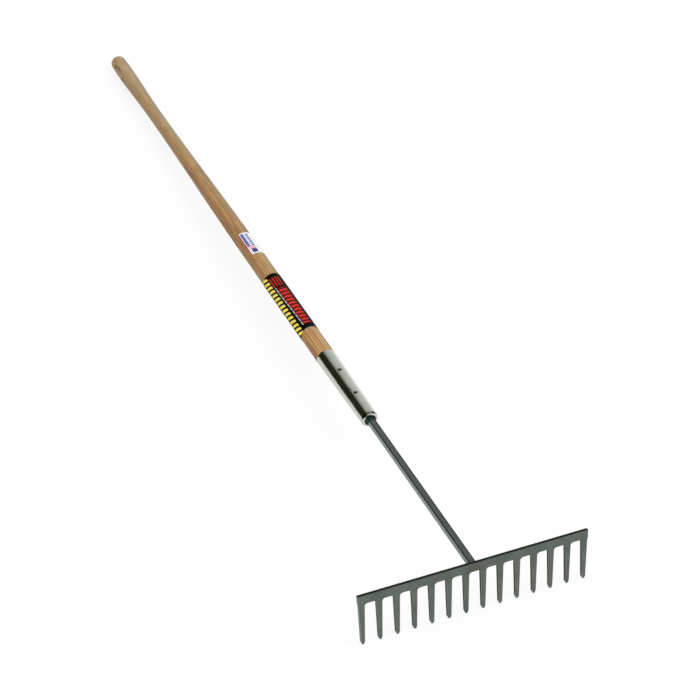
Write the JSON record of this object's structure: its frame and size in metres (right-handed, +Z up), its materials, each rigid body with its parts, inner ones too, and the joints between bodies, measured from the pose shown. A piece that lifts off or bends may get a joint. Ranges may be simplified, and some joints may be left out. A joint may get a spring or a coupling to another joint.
{
  "type": "asphalt rake",
  "caption": "Long-handled asphalt rake: straight steel comb head on a square shank, bright ferrule, turned ash handle, lying on its tine tips and grip end.",
  "frame": {"origin": "bottom centre of the bounding box, on the ground that the tine tips and the grip end rest on", "axes": "+Z up; +Y from the head towards the grip; +X along the head, to the right of someone looking from the head towards the grip"},
  "size_m": [0.4268, 1.9642, 0.1027],
  "materials": {
    "head_steel": "satin, grey-green",
    "weld_metal": "satin, as welded and coated with the head",
    "shank_steel": "satin, grey-green",
    "bright_plate": "bright nickel plate",
    "rivet_steel": "plain",
    "lacquered_ash": "clear lacquer, satin",
    "black_vinyl": "printed vinyl",
    "white_sticker": "printed vinyl"
  },
  "bodies": {
    "root": {"rake_head": "head_steel", "weld_bead": "weld_metal", "shank": "shank_steel", "ferrule": "bright_plate", "rivet_lower": "rivet_steel", "rivet_upper": "rivet_steel", "handle": "lacquered_ash", "handle_band": "black_vinyl", "handle_sticker": "white_sticker"}
  },
  "joints": []
}
